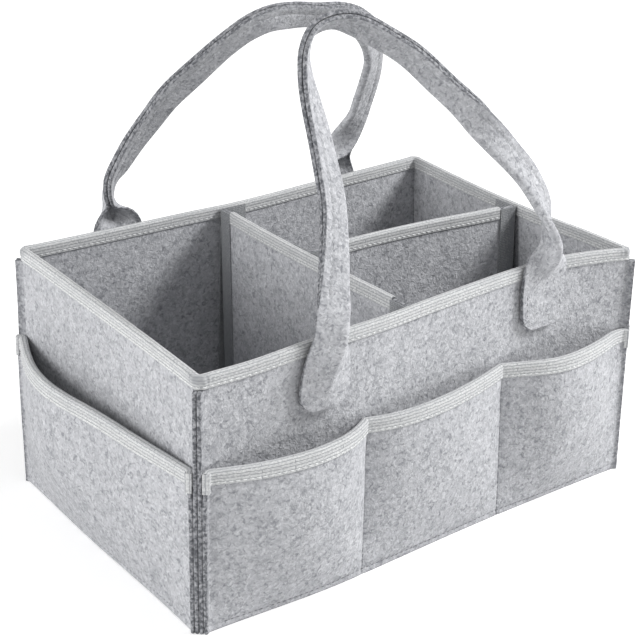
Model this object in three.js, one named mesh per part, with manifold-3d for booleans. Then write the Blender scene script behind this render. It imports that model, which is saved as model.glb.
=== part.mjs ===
// A felt diaper caddy: an open box of thick needle felt with a sewn-on row of
// pockets along each side, a bound rim, two carrying straps and a removable
// T-shaped divider held by hook-and-loop tape.
// Millimetres, +Z up. The origin is the middle of the underside, +X runs along
// the long side and the front, with its three pockets, faces -Y.
import * as THREE from 'three';
import { mergeVertices } from 'three/addons/utils/BufferGeometryUtils.js';
import Module from 'manifold-3d';

const wasm = await Module();
wasm.setup();

// The box
const boxLength = 380;
const boxDepth = 254;
const boxHeight = 193;

// The cloths: felt cut flat, and the woven tape that binds its raw edges
const felt = 4;
const tape = 1.2;
const seamGap = 0.3;

// The seams and bindings
const cornerLipReach = 9;
const rimTapeDrop = 14;
const pocketTapeDrop = 12;

// The pockets
const pocketHeight = 126;
const frontPocketBulge = 20;
const endPocketBulge = 24;
const pocketFootStand = 0.3;
const pocketSeamFlat = 7;

// The carrying straps, cut flat and folded in half along their length
const strapWidth = 46;
const strapFoldedWidth = 24;
const strapFoldedThickness = 8.3;
const strapSpan = 200;
const strapShift = 3;
const frontStrapRise = 180;
const frontStrapLean = 85;
const backStrapRise = 153;
const backStrapLean = 75;
const strapHingeRise = 1;
const strapHingeGap = 0.15;
const strapHeelBevel = 1.2;
const strapTwist = 60;
const patchDrop = 48;
const patchCornerRadius = 14;

// The divider
const dividerShift = -18;
const dividerTapeDrop = 13;
const dividerBareEnd = 14;
const dividerBow = 14;
const tabReach = 18;
const tabFoot = 40;
const loopStripWidth = 26;

// How the pieces share the room between the walls
const halfLength = boxLength / 2;
const halfDepth = boxDepth / 2;
const feltTop = boxHeight - tape - seamGap;
const rimTapeFoot = feltTop - rimTapeDrop;
const tapeStand = seamGap + tape + seamGap;
const diagonal = Math.SQRT2;
const lipStep = cornerLipReach / diagonal;
const wallTapeDepth = felt + seamGap + tape;
const tabDepth = wallTapeDepth + seamGap + tape;
const dividerEndDepth = tabDepth + seamGap;

const feltGrey = new THREE.Color('#b4b5b8');
const tapeGrey = new THREE.Color('#c9cdcb');
const hookGrey = new THREE.Color('#8f9092');

function clothMaterial(color) {
  return new THREE.MeshStandardMaterial({ color, roughness: 0.95, metalness: 0 });
}

const caddy = new THREE.Group();

function addMesh(parent, name, geometry, color) {
  const mesh = new THREE.Mesh(geometry, clothMaterial(color));
  mesh.name = name;
  parent.add(mesh);
  return mesh;
}

// A closed skin over a row of rings that all hold the same number of points.
// Each ring runs up one face of the piece and back down the other, so its two
// end rings close like the rungs of a ladder.
function loft(rings) {
  const count = rings[0].length;
  const positions = rings.flat().flatMap((point) => [point.x, point.y, point.z]);
  const index = [];
  const quad = (a, b, c, d) => index.push(a, b, c, a, c, d);
  for (let row = 0; row < rings.length - 1; row += 1) {
    for (let step = 0; step < count; step += 1) {
      const next = (step + 1) % count;
      const here = row * count;
      const there = here + count;
      quad(here + step, here + next, there + next, there + step);
    }
  }
  const last = (rings.length - 1) * count;
  for (let step = 0; step < count / 2 - 1; step += 1) {
    const across = count - 1 - step;
    quad(step, across, across - 1, step + 1);
    quad(last + step, last + step + 1, last + across - 1, last + across);
  }
  const geometry = new THREE.BufferGeometry();
  geometry.setAttribute('position', new THREE.Float32BufferAttribute(positions, 3));
  geometry.setIndex(signedVolume(positions, index) < 0 ? index.reverse() : index);
  return geometry;
}

function signedVolume(positions, index) {
  const corner = (entry) => new THREE.Vector3().fromArray(positions, 3 * entry);
  let volume = 0;
  for (let entry = 0; entry < index.length; entry += 3) {
    const [a, b, c] = [0, 1, 2].map((step) => corner(index[entry + step]));
    volume += a.dot(b.cross(c));
  }
  return volume;
}

// A flat line moved sideways by a distance, mitred at its bends. The positive
// side is on the right of its run, which is outward on every side of the box.
function offsetLine(line, distance) {
  const headings = line.slice(1).map((point, step) => point.clone().sub(line[step]).normalize());
  return line.map((point, step) => {
    const before = headings[Math.max(step - 1, 0)];
    const after = headings[Math.min(step, headings.length - 1)];
    const normal = new THREE.Vector2(before.y + after.y, -before.x - after.x).normalize();
    const reach = distance / normal.dot(new THREE.Vector2(before.y, -before.x));
    return point.clone().addScaledVector(normal, reach);
  });
}

// A strip that follows a line in plan, which may change with the height. Its
// section lists [distance to the side of the line, height] in ladder order.
function sweptStrip(lineAt, section) {
  const lines = section.map(([side, height]) => offsetLine(lineAt(height), side));
  const stations = lines[0].map((unused, station) => station);
  return loft(stations.map((station) => section.map(([, height], step) => (
    new THREE.Vector3(lines[step][station].x, lines[step][station].y, height)))));
}

// The section of a single cloth, standing from foot to top in a few levels
function clothSection(thickness, levels) {
  const half = thickness / 2;
  return [
    ...levels.map((height) => [half, height]),
    ...[...levels].reverse().map((height) => [-half, height]),
  ];
}

// The section of a tape folded over the top edge of a cloth
function tapeSection(thickness, foot, top) {
  const inner = thickness / 2 + seamGap;
  const outer = inner + tape;
  return [
    [outer, foot], [outer, top + seamGap + tape], [-outer, top + seamGap + tape], [-outer, foot],
    [-inner, foot], [-inner, top + seamGap], [inner, top + seamGap], [inner, foot],
  ];
}

function toSolid(geometry) {
  geometry.deleteAttribute('normal');
  geometry.deleteAttribute('uv');
  const merged = mergeVertices(geometry);
  return new wasm.Manifold(new wasm.Mesh({
    numProp: 3,
    vertProperties: Float32Array.from(merged.getAttribute('position').array),
    triVerts: Uint32Array.from(merged.index.array),
  }));
}

function toGeometry(solid) {
  const mesh = solid.getMesh();
  const geometry = new THREE.BufferGeometry();
  geometry.setAttribute('position', new THREE.BufferAttribute(mesh.vertProperties, 3));
  geometry.setIndex(new THREE.BufferAttribute(mesh.triVerts, 1));
  return geometry;
}

// A prism between two heights over an outline in plan
function prism(outline, foot, top) {
  const shape = new THREE.Shape(outline.map(([x, y]) => new THREE.Vector2(x, y)));
  const geometry = new THREE.ExtrudeGeometry(shape, { depth: top - foot, bevelEnabled: false });
  return geometry.translate(0, 0, foot);
}

// Each side of the box is a group whose local X runs along the wall, with the
// wall's outer face on its plane Y = 0 and the outside towards -Y.
function sideGroup(angle, standOff) {
  const group = new THREE.Group();
  group.rotation.z = THREE.MathUtils.degToRad(angle);
  group.position.set(standOff * Math.sin(group.rotation.z), -standOff * Math.cos(group.rotation.z), 0);
  caddy.add(group);
  return group;
}

// One side wall: a felt panel whose two ends turn out at 45 degrees into the
// raw-edged lips that are sewn to the next wall's, up to the rim binding.
function wallGeometry(halfRun) {
  const mitre = seamGap / diagonal;
  const outerEnd = halfRun - mitre;
  const innerEnd = outerEnd - felt;
  const panel = prism([
    [-innerEnd, felt], [-outerEnd, 0], [outerEnd, 0], [innerEnd, felt],
  ], 0, feltTop);
  let solid = toSolid(panel);
  [-1, 1].forEach((hand) => {
    const lip = [
      [innerEnd, felt],
      [outerEnd + lipStep, -lipStep],
      [outerEnd + lipStep - felt / diagonal, -lipStep - felt / diagonal],
      [innerEnd - felt * diagonal, felt],
    ].map(([x, y]) => [hand * x, y]);
    const outline = hand < 0 ? lip : lip.reverse();
    solid = solid.add(toSolid(prism(outline, 0, rimTapeFoot - seamGap)));
  });
  return toGeometry(solid);
}

// The rim binding over one wall, mitred where it meets the next side's
function rimTapeGeometry(halfRun) {
  const section = tapeSection(felt, rimTapeFoot, feltTop);
  const ring = (hand) => section.map(([side, height]) => new THREE.Vector3(
    hand * (halfRun - seamGap / diagonal - felt / 2 + side), felt / 2 - side, height));
  return loft([ring(-1), ring(1)]);
}

// How far a pocket stands out, as shares of its full bulge: up its height, and
// across its width from one seam to the next
const pocketRiseShares = [[0, 0.06], [0.2, 0.36], [0.45, 0.66], [0.75, 0.9], [1, 1]];
const pocketAcrossShares = [
  [0.06, 0.3], [0.14, 0.56], [0.25, 0.8], [0.38, 0.95], [0.5, 1],
  [0.62, 0.95], [0.75, 0.8], [0.86, 0.56], [0.94, 0.3],
];

function shareAt(shares, place) {
  const step = Math.max(shares.findIndex(([share]) => share >= place), 1);
  const [low, lowValue] = shares[step - 1];
  const [high, highValue] = shares[step];
  return lowValue + ((highValue - lowValue) * (place - low)) / (high - low);
}

// The middle line of a pocket strip at a height: a lip beside the wall's lip, a
// stretch on the wall, the bulges between the seams, and a lip again
function pocketLine(halfRun, count, bulge, height) {
  const share = Math.min(Math.max(height / pocketHeight, 0), 1);
  const stand = THREE.MathUtils.lerp(pocketFootStand, tapeStand, share) + felt / 2;
  const swell = bulge * shareAt(pocketRiseShares, share);
  const lipSide = (seamGap / 2 + felt + tapeStand + felt / 2) * diagonal;
  const root = halfRun - lipSide + stand;
  const lipX = halfRun + lipStep - lipSide / 2;
  const lipOut = lipStep + lipSide / 2;
  const line = [new THREE.Vector2(-lipX, -lipOut), new THREE.Vector2(-root, -stand)];
  for (let pocket = 0; pocket < count; pocket += 1) {
    const low = THREE.MathUtils.lerp(-root, root, pocket / count) + pocketSeamFlat / 2;
    const high = THREE.MathUtils.lerp(-root, root, (pocket + 1) / count) - pocketSeamFlat / 2;
    line.push(new THREE.Vector2(low, -stand));
    pocketAcrossShares.forEach(([across, out]) => {
      const x = THREE.MathUtils.lerp(low, high, across);
      line.push(new THREE.Vector2(x, -stand - swell * out));
    });
    line.push(new THREE.Vector2(high, -stand));
  }
  line.push(new THREE.Vector2(root, -stand), new THREE.Vector2(lipX, -lipOut));
  return line;
}

function buildSide(name, angle, halfRun, standOff, pockets, bulge) {
  const side = sideGroup(angle, standOff);
  addMesh(side, `${name}_wall`, wallGeometry(halfRun), feltGrey);
  addMesh(side, `${name}_rim_binding`, rimTapeGeometry(halfRun), tapeGrey);
  const lineAt = (height) => pocketLine(halfRun, pockets, bulge, height);
  const levels = pocketRiseShares.map(([share]) => share * pocketHeight);
  addMesh(side, `${name}_pocket_panel`, sweptStrip(lineAt, clothSection(felt, levels)), feltGrey);
  const binding = tapeSection(felt, pocketHeight - pocketTapeDrop, pocketHeight);
  addMesh(side, `${name}_pocket_binding`, sweptStrip(lineAt, binding), tapeGrey);
  return side;
}

const frontSide = buildSide('front', 0, halfLength, halfDepth, 3, frontPocketBulge);
buildSide('right', 90, halfDepth, halfLength, 1, endPocketBulge);
const backSide = buildSide('back', 180, halfLength, halfDepth, 3, frontPocketBulge);
buildSide('left', 270, halfDepth, halfLength, 1, endPocketBulge);

// The bottom panel lies between the feet of the walls
const baseLength = boxLength - 2 * (felt + seamGap);
const baseDepth = boxDepth - 2 * (felt + seamGap);
const base = new THREE.BoxGeometry(baseLength, baseDepth, felt).translate(0, 0, felt / 2);
addMesh(caddy, 'base_panel', base, feltGrey);

// The sewn-down end of a carrying strap: a flat tongue with round lower
// corners, on the outside of the wall and over the rim binding
const hingeHeight = boxHeight + strapHingeRise;
function patchGeometry() {
  const half = strapWidth / 2;
  const shape = new THREE.Shape();
  const top = hingeHeight - strapHingeGap;
  const foot = feltTop - patchDrop;
  shape.moveTo(-half, top);
  shape.lineTo(-half, foot + patchCornerRadius);
  const round = foot + patchCornerRadius;
  shape.absarc(patchCornerRadius - half, round, patchCornerRadius, Math.PI, 1.5 * Math.PI);
  shape.absarc(half - patchCornerRadius, round, patchCornerRadius, 1.5 * Math.PI, 2 * Math.PI);
  shape.lineTo(half, top);
  const geometry = new THREE.ExtrudeGeometry(shape, { depth: felt, bevelEnabled: false, curveSegments: 6 });
  return geometry.rotateX(Math.PI / 2).translate(0, -tapeStand, 0);
}

// The routes of the two straps, as shares of half the span, of the rise and of
// the twist, with how far the strap is folded shut. They start at the foot on
// the -X end of their own side.
const frontRouteShares = [
  [-1, 0, 0, 0], [-0.93, 0.06, 0, 0.5], [-0.86, 0.13, 0, 0.95], [-0.8, 0.28, 0, 1],
  [-0.74, 0.45, 0.05, 1], [-0.71, 0.62, 0.35, 1], [-0.68, 0.77, 0.75, 1], [-0.63, 0.89, 1, 1],
  [-0.52, 0.97, 0.9, 1], [-0.36, 1, 0.6, 1], [-0.18, 0.99, 0.2, 1], [0.04, 0.925, 0, 1],
  [0.24, 0.825, 0, 1], [0.44, 0.7, 0, 1], [0.64, 0.57, 0, 1], [0.82, 0.43, 0, 1],
  [0.96, 0.3, 0, 1], [1.02, 0.19, 0, 1], [1.03, 0.12, 0, 0.9], [1.01, 0.055, 0, 0.45],
  [1, 0, 0, 0],
];
const backRouteShares = [
  [-1, 0, 0, 0], [-1.05, 0.07, 0, 0.45], [-1.1, 0.14, 0, 0.9], [-1.16, 0.3, 0.1, 1],
  [-1.19, 0.48, 0.25, 1], [-1.17, 0.66, 0.35, 1], [-1.05, 0.82, 0.3, 1], [-0.83, 0.93, 0.1, 1],
  [-0.55, 0.985, 0, 1], [-0.27, 1, 0, 1], [0, 0.985, 0, 1], [0.25, 0.925, 0, 1],
  [0.48, 0.82, 0, 1], [0.7, 0.66, -0.05, 1], [0.86, 0.51, -0.25, 1], [1, 0.36, -0.45, 1],
  [1.08, 0.24, -0.4, 1], [1.09, 0.145, -0.1, 0.9], [1.05, 0.07, 0, 0.45], [1, 0, 0, 0],
];
const leanPower = 1.5;
const strapStations = 44;

// A strap's section, as shares of half its width and half its thickness
const strapSectionShares = [
  [-1, 0.5], [-0.93, 1], [0.93, 1], [1, 0.5], [1, -0.5], [0.93, -1], [-0.93, -1], [-1, -0.5],
];

// One carrying strap from hinge to hinge. At each station the section's width
// runs from the fold, on the inside of the arch, to the two raw edges outside.
// Where the strap still lies open at its feet, the section stays level.
function strapGeometry(routeShares, rise, lean) {
  const start = hingeHeight + strapHingeGap;
  const middle = tapeStand + felt / 2;
  const points = routeShares.map(([x, up]) => new THREE.Vector3(
    (x * strapSpan) / 2, lean * up ** leanPower - middle, start + rise * up));
  const route = new THREE.CatmullRomCurve3(points, false, 'centripetal');
  const folding = new THREE.CatmullRomCurve3(routeShares.map(([, , twist, fold]) => (
    new THREE.Vector3(twist, fold, 0))), false, 'catmullrom');
  const outward = new THREE.Vector3(0, -1, 0);
  const rings = [];
  for (let station = 0; station <= strapStations; station += 1) {
    const place = station / strapStations;
    const { x: twist, y: fold } = folding.getPoint(place);
    const point = route.getPoint(place);
    const upright = new THREE.Vector3(0, 0, place < 0.5 ? 1 : -1);
    const heading = upright.lerp(route.getTangent(place), fold).normalize();
    const ended = place === 0 || place === 1;
    const across = new THREE.Vector3().crossVectors(outward, heading).normalize();
    across.applyAxisAngle(heading, THREE.MathUtils.degToRad(strapTwist * twist));
    const through = new THREE.Vector3().crossVectors(heading, across).normalize();
    const halfWidth = THREE.MathUtils.lerp(strapWidth, strapFoldedWidth, fold) / 2;
    const halfThickness = THREE.MathUtils.lerp(felt, strapFoldedThickness, fold) / 2;
    rings.push(strapSectionShares.map(([wide, thick]) => {
      const corner = point.clone().addScaledVector(across, wide * halfWidth);
      corner.addScaledVector(through, thick * halfThickness);
      if (ended && thick * through.y > 0) corner.z += strapHeelBevel * Math.abs(thick);
      return corner;
    }));
  }
  return loft(rings);
}

function buildStrap(side, name, shift, routeShares, rise, lean) {
  const feet = [['left', -1], ['right', 1]];
  feet.forEach(([hand, direction]) => {
    const patch = addMesh(side, `${name}_strap_${hand}_end`, patchGeometry(), feltGrey);
    patch.position.x = shift + (direction * strapSpan) / 2;
  });
  const strap = addMesh(side, `${name}_strap`, strapGeometry(routeShares, rise, lean), feltGrey);
  strap.position.x = shift;
}

buildStrap(frontSide, 'front', strapShift, frontRouteShares, frontStrapRise, frontStrapLean);
buildStrap(backSide, 'back', -strapShift, backRouteShares, backStrapRise, backStrapLean);

// The divider. Each panel ends short of what it meets, and a folded tab of hook
// tape runs from its face round its end and on to a strip of loop tape.
const panelFoot = felt + seamGap;
const loopTop = rimTapeFoot - seamGap;
const loopHeight = loopTop - tabFoot;

function straightLine(from, to) {
  return () => [new THREE.Vector2(...from), new THREE.Vector2(...to)];
}

// A tab that lies on the bare end of a panel's face, then turns round that end
// and away by its reach. Here the end faces +Y and the tab is on the -X face.
function tabGeometry() {
  const face = -felt / 2 - seamGap - tape / 2;
  const bend = seamGap + tape / 2;
  const line = () => [
    new THREE.Vector2(felt / 2 + tabReach, bend),
    new THREE.Vector2(face, bend),
    new THREE.Vector2(face, -dividerBareEnd),
  ];
  return sweptStrip(line, clothSection(tape, [tabFoot, feltTop]));
}

function loopStrip(parent, name, x, y, turn) {
  const geometry = new THREE.BoxGeometry(loopStripWidth, tape, loopHeight);
  geometry.translate(loopStripWidth / 2, 0, tabFoot + loopHeight / 2);
  const strip = addMesh(parent, name, geometry, hookGrey);
  strip.position.set(x, y, 0);
  strip.rotation.z = turn;
}

// The cross panel stands from the front wall to the back wall
const crossHalf = halfDepth - dividerEndDepth;
const crossDivider = new THREE.Group();
crossDivider.position.x = dividerShift;
caddy.add(crossDivider);
const crossLine = straightLine([0, -crossHalf], [0, crossHalf]);
const panelSection = clothSection(felt, [panelFoot, feltTop]);
addMesh(crossDivider, 'cross_divider_panel', sweptStrip(crossLine, panelSection), feltGrey);
const crossTapeHalf = crossHalf - dividerBareEnd - seamGap;
const crossTapeLine = straightLine([0, -crossTapeHalf], [0, crossTapeHalf]);
const dividerTape = tapeSection(felt, feltTop - dividerTapeDrop, feltTop);
addMesh(crossDivider, 'cross_divider_binding', sweptStrip(crossTapeLine, dividerTape), tapeGrey);
const crossBackTab = addMesh(crossDivider, 'cross_divider_back_tab', tabGeometry(), hookGrey);
crossBackTab.position.y = crossHalf;
const frontTabShape = tabGeometry().scale(1, -1, 1);
frontTabShape.setIndex([...frontTabShape.index.array].reverse());
const crossFrontTab = addMesh(crossDivider, 'cross_divider_front_tab', frontTabShape, hookGrey);
crossFrontTab.position.y = -crossHalf;

// The strips of loop tape on the walls, and on the cross panel for the long one
const wallStripDepth = felt + seamGap + tape / 2;
const stripStart = dividerShift - felt / 2;
loopStrip(caddy, 'front_loop_strip', stripStart, wallStripDepth - halfDepth, 0);
loopStrip(caddy, 'back_loop_strip', stripStart, halfDepth - wallStripDepth, 0);

// The long panel stands from the cross panel to the right wall, pushed towards
// the front by what stands behind it
const crossStripDepth = felt / 2 + seamGap + tape / 2;
const longStart = dividerShift + felt / 2 + seamGap + tape + seamGap + tape + seamGap;
const longEnd = halfLength - dividerEndDepth;
const longBowShares = [[0, 0], [0.12, 0], [0.35, 0.12], [0.6, 0.5], [0.78, 0.88], [0.9, 1], [1, 1]];
const longLine = (trim) => () => longBowShares.map(([along, out]) => {
  const x = THREE.MathUtils.lerp(longStart, longEnd, along);
  return new THREE.Vector2(THREE.MathUtils.clamp(x, longStart + trim, longEnd - trim), -dividerBow * out);
});
const longDivider = new THREE.Group();
caddy.add(longDivider);
addMesh(longDivider, 'long_divider_panel', sweptStrip(longLine(0), panelSection), feltGrey);
addMesh(longDivider, 'long_divider_binding',
  sweptStrip(longLine(dividerBareEnd + seamGap), dividerTape), tapeGrey);
const longWallTab = addMesh(longDivider, 'long_divider_wall_tab', frontTabShape.clone(), hookGrey);
longWallTab.rotation.z = Math.PI / 2;
longWallTab.position.set(longEnd, -dividerBow, 0);
const longCrossTab = addMesh(longDivider, 'long_divider_cross_tab', tabGeometry(), hookGrey);
longCrossTab.rotation.z = Math.PI / 2;
longCrossTab.position.set(longStart, 0, 0);
const rightStripStart = -dividerBow - felt / 2;
loopStrip(caddy, 'right_loop_strip', halfLength - wallStripDepth, rightStripStart, Math.PI / 2);
loopStrip(crossDivider, 'cross_loop_strip', crossStripDepth, -felt / 2, Math.PI / 2);

export default caddy;
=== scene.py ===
# A felt diaper caddy, dressed piece by piece in the order in which it is sewn.
# Sizes are in millimetres and become metres when a mesh is made. The box's front
# faces -Y, its long side runs along X, and the frame gives every place.
import math

import bpy
import numpy as np
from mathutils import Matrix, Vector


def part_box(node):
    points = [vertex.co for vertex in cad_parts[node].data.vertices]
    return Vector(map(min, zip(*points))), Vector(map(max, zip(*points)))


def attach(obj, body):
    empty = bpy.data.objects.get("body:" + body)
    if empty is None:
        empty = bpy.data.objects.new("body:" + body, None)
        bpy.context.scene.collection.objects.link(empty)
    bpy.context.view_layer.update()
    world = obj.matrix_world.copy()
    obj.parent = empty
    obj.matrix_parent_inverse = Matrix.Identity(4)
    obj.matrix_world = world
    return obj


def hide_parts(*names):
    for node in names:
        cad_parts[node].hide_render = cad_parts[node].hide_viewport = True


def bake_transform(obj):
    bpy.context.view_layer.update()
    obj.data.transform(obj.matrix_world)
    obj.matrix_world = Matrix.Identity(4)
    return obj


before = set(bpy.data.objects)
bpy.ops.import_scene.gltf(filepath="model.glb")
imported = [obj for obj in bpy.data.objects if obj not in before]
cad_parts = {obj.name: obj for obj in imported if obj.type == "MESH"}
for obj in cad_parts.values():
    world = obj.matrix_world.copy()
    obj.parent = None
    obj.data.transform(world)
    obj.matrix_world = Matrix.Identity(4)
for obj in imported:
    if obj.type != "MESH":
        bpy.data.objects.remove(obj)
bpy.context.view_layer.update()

# The bottom panel: a rectangle of 4 mm needle felt that keeps the box square. It
# lies between the feet of the four walls and is caught in the same bottom seam.
MM = 0.001


def cad_box(node):
    """The lowest and highest corner of a node of the frame, in millimetres."""
    low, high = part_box(node)
    return np.array(low) / MM, np.array(high) / MM


def linear(hex_colour):
    """The linear values of an sRGB colour such as #b4b5b8."""
    parts = [int(hex_colour[at:at + 2], 16) / 255 for at in (1, 3, 5)]
    bent = [part / 12.92 if part <= 0.04045 else ((part + 0.055) / 1.055) ** 2.4 for part in parts]
    return (*bent, 1.0)


def set_sockets(material, node, inputs):
    """Each input socket of a node, set to a value or linked to another node's socket."""
    for name, value in inputs.items():
        if isinstance(value, bpy.types.NodeSocket):
            material.node_tree.links.new(value, node.inputs[name])
        else:
            node.inputs[name].default_value = value


def add_node(material, kind, inputs, **settings):
    """One node with its settings and its sockets."""
    node = material.node_tree.nodes.new("ShaderNode" + kind)
    for name, value in settings.items():
        setattr(node, name, value)
    set_sockets(material, node, inputs)
    return node


def new_material(name):
    """A new material and the node that makes its surface."""
    material = bpy.data.materials.new(name)
    material.use_nodes = True
    return material, material.node_tree.nodes["Principled BSDF"]


def tinted(material, colour, layers):
    """A colour under layers of tint. Each layer: its pattern, the values of it where the layer
    starts and ends, its shares there, and its tint."""
    for pattern, low, high, first, last, tint in layers:
        factor = add_node(material, "MapRange", {
            "Value": pattern, "From Min": low, "From Max": high, "To Min": first, "To Max": last})
        blended = add_node(material, "Mix", {
            0: factor.outputs[0], 6: colour, 7: linear(tint)}, data_type="RGBA")
        colour = blended.outputs[2]
    return colour


felt_light = "#d9dadd"
felt_body = "#bcbdc1"
felt_dark = "#6f7177"
felt_cut_and_shade = "#595b60"
cloud_size = 26
tuft_size = 8
fleck_size = 3.6
fibre_size = 2.6
cut_tuft_size = 2.2
fibre_offset = (0.31, 0.17, 0.53)


def needle_felt(name, light, body, dark, cut):
    """Needle felt: short polyester fibres of three greys, punched into a dense mat. It gives a
    matt heathered face of soft clouds, dark flecks and pale tufts, and where it is cut the open
    ends of the fibres look much darker. The same dark, led by the cut attribute, is also painted
    shade along the pockets' seams and in the gap between a strap's wings. Flecks are drawn two or
    three fibres wide, to show."""
    material, finish = new_material(name)
    place = add_node(material, "TexCoord", {}).outputs["Object"]
    clouds = add_node(material, "TexNoise", {
        "Vector": place, "Scale": 1 / (cloud_size * MM), "Detail": 2.0})
    tufts = add_node(material, "TexNoise", {
        "Vector": place, "Scale": 1 / (tuft_size * MM), "Detail": 3.0, "Roughness": 0.6, "Distortion": 0.6})
    flecks = add_node(material, "TexNoise", {
        "Vector": place, "Scale": 1 / (fleck_size * MM), "Detail": 2.0, "Roughness": 0.55, "Distortion": 1.1})
    elsewhere = add_node(material, "Mapping", {"Vector": place, "Location": fibre_offset})
    fibres = add_node(material, "TexNoise", {
        "Vector": elsewhere.outputs["Vector"], "Scale": 1 / (fibre_size * MM), "Detail": 2.0,
        "Distortion": 0.8})
    edge = add_node(material, "Attribute", {}, attribute_name="cut").outputs["Fac"]
    edge_tufts = add_node(material, "TexNoise", {
        "Vector": place, "Scale": 1 / (cut_tuft_size * MM), "Detail": 1.0})
    edge_factor = add_node(material, "MapRange", {
        "Value": edge_tufts.outputs["Fac"], "From Min": 0.38, "From Max": 0.62, "To Min": 0.35,
        "To Max": 1.0})
    edge_factor = add_node(material, "Math", {0: edge_factor.outputs[0], 1: edge}, operation="MULTIPLY")
    colour = tinted(material, linear(body), (
        (clouds.outputs["Fac"], 0.35, 0.7, 0, 0.16, dark),
        (tufts.outputs["Fac"], 0.44, 0.75, 0, 0.42, dark),
        (fibres.outputs["Fac"], 0.46, 0.72, 0, 0.7, light),
        (flecks.outputs["Fac"], 0.49, 0.72, 0, 0.72, dark),
        (edge_factor.outputs[0], 0, 1, 0, 1, cut)))
    relief = add_node(material, "Math", {
        0: fibres.outputs["Fac"], 1: tufts.outputs["Fac"]}, operation="ADD")
    bump = add_node(material, "Bump", {
        "Height": relief.outputs[0], "Strength": 0.6, "Distance": 0.0014})
    set_sockets(material, finish, {
        "Base Color": colour, "Normal": bump.outputs["Normal"], "Roughness": 0.95,
        "Specular IOR Level": 0.2, "Sheen Weight": 0.15, "Sheen Roughness": 0.6})
    return material


def add_object(name, data):
    """A new object in the scene that shows its data."""
    added = bpy.data.objects.new(name, data)
    bpy.context.collection.objects.link(added)
    return added


felt = needle_felt("heathered grey needle felt", felt_light, felt_body, felt_dark, felt_cut_and_shade)


def make_piece(name, points, faces, material, body=None, slot=None, run=None, cut=None, crease=55):
    """A mesh piece from points in millimetres, with its outside outwards. run holds two places
    for each point, along and across a tape in millimetres, which the tape's weave follows, and
    cut is 1 where a point lies on a cut edge. cut also carries painted shade, in seams, in the
    gap between a strap's wings and between a tape's puckers."""
    mesh = bpy.data.meshes.new(name)
    points = np.asarray(points, float).reshape(-1, 3)
    faces = np.asarray(faces)
    corners = points[faces]
    first = np.cross(corners[:, 1] - corners[:, 0], corners[:, 2] - corners[:, 0])
    second = np.cross(corners[:, 2] - corners[:, 0], corners[:, 3] - corners[:, 0])
    if (corners[:, 0] * (first + second)).sum() < 0:
        faces = faces[:, ::-1]
    mesh.from_pydata((points * MM).tolist(), [], faces.tolist())
    if run is not None:
        places = np.zeros((len(points), 3), np.float32)
        places[:, :2] = np.asarray(run).reshape(-1, 2) * MM
        mesh.attributes.new("run", "FLOAT_VECTOR", "POINT").data.foreach_set("vector", places.ravel())
    if cut is not None:
        shares = np.ravel(cut).astype(np.float32)
        mesh.attributes.new("cut", "FLOAT", "POINT").data.foreach_set("value", shares)
    mesh.materials.append(material)
    mesh.shade_smooth()
    mesh.set_sharp_from_angle(angle=math.radians(crease))
    piece = add_object(name, mesh)
    if body:
        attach(piece, body)
    return piece


def strip_faces(rows, count, closed=False):
    """Quads over rows of rings of count points. Each ring runs up one face of the cloth and
    back down the other, so an open strip's two ends close like the rungs of a ladder."""
    row = np.arange(rows if closed else rows - 1)[:, None]
    step = np.arange(count)[None, :]
    here = row * count
    there = (row + 1) % rows * count
    after = (step + 1) % count
    skin = np.stack([here + step, here + after, there + after, there + step], -1).reshape(-1, 4)
    if closed:
        return skin
    rung = np.arange(count // 2 - 1)
    across = count - 1 - rung
    first = np.stack([rung, across, across - 1, rung + 1], -1)
    last = np.stack([rung, rung + 1, across - 1, across], -1) + (rows - 1) * count
    return np.concatenate([skin, first, last])


def make_strip(name, rings, material, body=None, slot=None, closed=False, **details):
    """A mesh piece from rings of points."""
    return make_piece(name, rings, strip_faces(*rings.shape[:2], closed), material, body, slot, **details)


felt_thickness = 4
felt_half = felt_thickness / 2
seam_gap = 0.3
base_low, base_high = cad_box("base_panel")
half_length = base_high[0] + felt_thickness + seam_gap
half_depth = base_high[1] + felt_thickness + seam_gap
tape_drop = 9.6
rim_top = cad_box("front_rim_binding")[1][2]
rim_foot = rim_top - tape_drop


def read_off(table, at):
    """The values of a table of (place, values) rows, read smoothly between the given places."""
    table = np.asarray(table, float)
    places, values = table[:, 0], table[:, 1:]
    slope = np.gradient(values, places, axis=0)
    at = np.clip(np.asarray(at, float), places[0], places[-1])
    step = np.clip(np.searchsorted(places, at, side="right") - 1, 0, len(places) - 2)
    width = (places[step + 1] - places[step])[..., None]
    part = (at - places[step])[..., None] / width
    rest = 1 - part
    found = (values[step] * (1 + 2 * part) * rest ** 2 + slope[step] * width * part * rest ** 2
             + values[step + 1] * part ** 2 * (1 + 2 * rest) - slope[step + 1] * width * part ** 2 * rest)
    return found[..., 0] if found.shape[-1] == 1 else found


# How far the soft box has moved off its square pattern. Its ends lean in at the rim,
# and each row gives how far a long side or the right end moves in at a place along it.
left_end_lean = (2.5, 8.0)
front_rim_in = ((-190, -4), (-150, -5.5), (-90, -6), (-43, -5), (0, 0.5), (45, 5.5), (86, 8.7), (130, 10),
                (165, 6.5), (190, 3))
front_foot_in = ((-190, 1), (-100, -2.5), (-25, 0.5), (68, 5), (150, 5), (190, 5))
back_rim_in = ((-190, 0.5), (-150, 3), (-84, 6.5), (-45, 7), (-6, 9), (30, 8.5), (90, 5), (190, 1))
right_rim_in = ((-127, 3.5), (-90, 6), (-55, 9.5), (0, 10.5), (60, 8), (127, 3.5))
ripple_height = 0.7
ripple_lengths = (31, 23, 90)
lean_power = 1.4
front_power = 1.2
# Three corners are pulled out of square. Each row: right end or not, back or not, how
# fast the pull fades along the length and the depth, and its moves at rim and foot
corner_pulls = (
    (True, False, 9, 3, (0.5, -7, -4), (5, 0, 0)),
    (False, True, 9, 2, (-3, 0, 0), (0, 0, 0)),
    (False, False, 8, 1.2, (-2.5, 0, -3.5), (-1.2, 0, 0)),
)
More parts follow.
